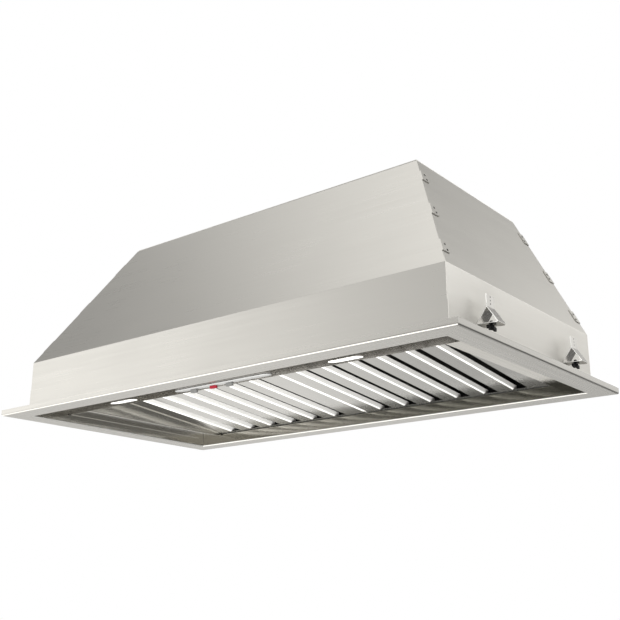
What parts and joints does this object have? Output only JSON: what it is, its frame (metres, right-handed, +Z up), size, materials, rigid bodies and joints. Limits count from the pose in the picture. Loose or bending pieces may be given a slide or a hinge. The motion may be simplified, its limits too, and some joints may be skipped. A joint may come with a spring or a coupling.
{
  "type": "range hood insert",
  "caption": "Stainless range hood insert with a sloped body, trim flange, baffle filters, lamps, slide controls, fan, duct collar and side clips.",
  "frame": {"origin": "middle of the trim flange's underside, which is also what the hood stands on", "axes": "+X across the hood to the right as seen from the front, +Y to the back wall, +Z up towards the duct"},
  "size_m": [0.873, 0.4762, 0.3397],
  "materials": {
    "brushed_stainless": "fine horizontal brushed grain, satin",
    "filter_stainless": "bright rolled stainless, satin",
    "spring_steel": "smooth bright spring steel",
    "galvanised_sheet": "dull galvanised sheet with a faint spangle",
    "turned_steel": "turned bright steel",
    "black_enamel": "satin black enamel",
    "black_plastic": "matt black moulded plastic",
    "silver_plastic": "silver-grey moulded plastic, semi-gloss",
    "grey_knob": "mid grey moulded plastic",
    "red_lens": "clear red moulded lens",
    "opal_lens": "opal white diffuser",
    "capacitor_can": "drawn aluminium can",
    "circuit_board": "green solder resist",
    "lamp_board": "white solder resist"
  },
  "bodies": {
    "hood_body": {"trim_flange": "brushed_stainless", "front_panel": "brushed_stainless", "back_panel": "brushed_stainless", "right_side_panel": "brushed_stainless", "left_side_panel": "brushed_stainless", "top_plate": "brushed_stainless", "duct_collar": "galvanised_sheet", "damper_rod": "turned_steel", "blower_housing": "galvanised_sheet", "motor": "black_enamel", "motor_bracket": "galvanised_sheet", "run_capacitor": "capacitor_can", "junction_box": "galvanised_sheet", "junction_cover": "galvanised_sheet", "cable_gland": "black_plastic", "wiring_conduit": "galvanised_sheet", "right_side_filler": "brushed_stainless", "left_side_filler": "brushed_stainless", "rear_filter_rail": "brushed_stainless", "control_housing": "galvanised_sheet", "light_panel": "brushed_stainless", "control_bezel": "silver_plastic", "indicator_lens": "red_lens", "control_board": "circuit_board", "lamp_driver": "black_plastic", "left_lamp_housing": "galvanised_sheet", "right_lamp_housing": "galvanised_sheet", "left_lamp_lens": "opal_lens", "right_lamp_lens": "opal_lens", "left_lamp_board": "lamp_board", "right_lamp_board": "lamp_board", "motor_lead": "black_plastic", "left_filter_catch": "spring_steel", "right_filter_catch": "spring_steel"},
    "left_filter": {"left_filter_tray": "filter_stainless", "left_filter_baffles": "filter_stainless"},
    "right_filter": {"right_filter_tray": "filter_stainless", "right_filter_baffles": "filter_stainless"},
    "front_flap": {"damper_flap_front": "galvanised_sheet"},
    "rear_flap": {"damper_flap_rear": "galvanised_sheet"},
    "fan_rotor": {"blower_wheel": "galvanised_sheet", "motor_shaft": "turned_steel"},
    "light_slider": {"light_switch_knob": "grey_knob"},
    "fan_slider": {"fan_speed_knob": "grey_knob"},
    "right_front_clip_body": {"right_front_clip": "spring_steel"},
    "right_front_screw_body": {"right_front_wing_screw": "black_plastic"},
    "right_rear_clip_body": {"right_rear_clip": "spring_steel"},
    "right_rear_screw_body": {"right_rear_wing_screw": "black_plastic"},
    "left_front_clip_body": {"left_front_clip": "spring_steel"},
    "left_front_screw_body": {"left_front_wing_screw": "black_plastic"},
    "left_rear_clip_body": {"left_rear_clip": "spring_steel"},
    "left_rear_screw_body": {"left_rear_wing_screw": "black_plastic"}
  },
  "joints": [
    {"name": "left_filter_tilt", "type": "hinge", "parent": "hood_body", "child": "left_filter", "pos_m": [-0.1755, 0.202, 0.0208], "axis": [1, 0, 0], "range_deg": [0, 75]},
    {"name": "right_filter_tilt", "type": "hinge", "parent": "hood_body", "child": "right_filter", "pos_m": [0.1755, 0.202, 0.0208], "axis": [1, 0, 0], "range_deg": [0, 75]},
    {"name": "front_flap_swing", "type": "hinge", "parent": "hood_body", "child": "front_flap", "pos_m": [0, 0.084, 0.3136], "axis": [-1, 0, 0], "range_deg": [0, 78]},
    {"name": "rear_flap_swing", "type": "hinge", "parent": "hood_body", "child": "rear_flap", "pos_m": [0, 0.084, 0.3136], "axis": [1, 0, 0], "range_deg": [0, 78]},
    {"name": "fan_spin", "type": "hinge", "parent": "hood_body", "child": "fan_rotor", "pos_m": [0, 0.028, 0.172], "axis": [1, 0, 0], "continuous": true},
    {"name": "light_switch_slide", "type": "slide", "parent": "hood_body", "child": "light_slider", "axis": [1, 0, 0], "range_m": [0, 0.016]},
    {"name": "fan_speed_slide", "type": "slide", "parent": "hood_body", "child": "fan_slider", "axis": [1, 0, 0], "range_m": [0, 0.054]},
    {"name": "right_front_clip_flex", "type": "hinge", "parent": "hood_body", "child": "right_front_clip_body", "pos_m": [0.4047, -0.1278, 0.029], "axis": [0, -1, 0], "range_deg": [0, 15], "stiffness_Nm_per_rad": 1.5},
    {"name": "right_front_screw_turn", "type": "hinge", "parent": "right_front_clip_body", "child": "right_front_screw_body", "pos_m": [0.4208, -0.1278, 0.025], "axis": [0, 0, 1], "continuous": true},
    {"name": "right_rear_clip_flex", "type": "hinge", "parent": "hood_body", "child": "right_rear_clip_body", "pos_m": [0.4047, 0.1213, 0.029], "axis": [0, -1, 0], "range_deg": [0, 15], "stiffness_Nm_per_rad": 1.5},
    {"name": "right_rear_screw_turn", "type": "hinge", "parent": "right_rear_clip_body", "child": "right_rear_screw_body", "pos_m": [0.4208, 0.1213, 0.025], "axis": [0, 0, 1], "continuous": true},
    {"name": "left_front_clip_flex", "type": "hinge", "parent": "hood_body", "child": "left_front_clip_body", "pos_m": [-0.4047, -0.1278, 0.029], "axis": [0, 1, 0], "range_deg": [0, 15], "stiffness_Nm_per_rad": 1.5},
    {"name": "left_front_screw_turn", "type": "hinge", "parent": "left_front_clip_body", "child": "left_front_screw_body", "pos_m": [-0.4208, -0.1278, 0.025], "axis": [0, 0, 1], "continuous": true},
    {"name": "left_rear_clip_flex", "type": "hinge", "parent": "hood_body", "child": "left_rear_clip_body", "pos_m": [-0.4047, 0.1213, 0.029], "axis": [0, 1, 0], "range_deg": [0, 15], "stiffness_Nm_per_rad": 1.5},
    {"name": "left_rear_screw_turn", "type": "hinge", "parent": "left_rear_clip_body", "child": "left_rear_screw_body", "pos_m": [-0.4208, 0.1213, 0.025], "axis": [0, 0, 1], "continuous": true}
  ]
}
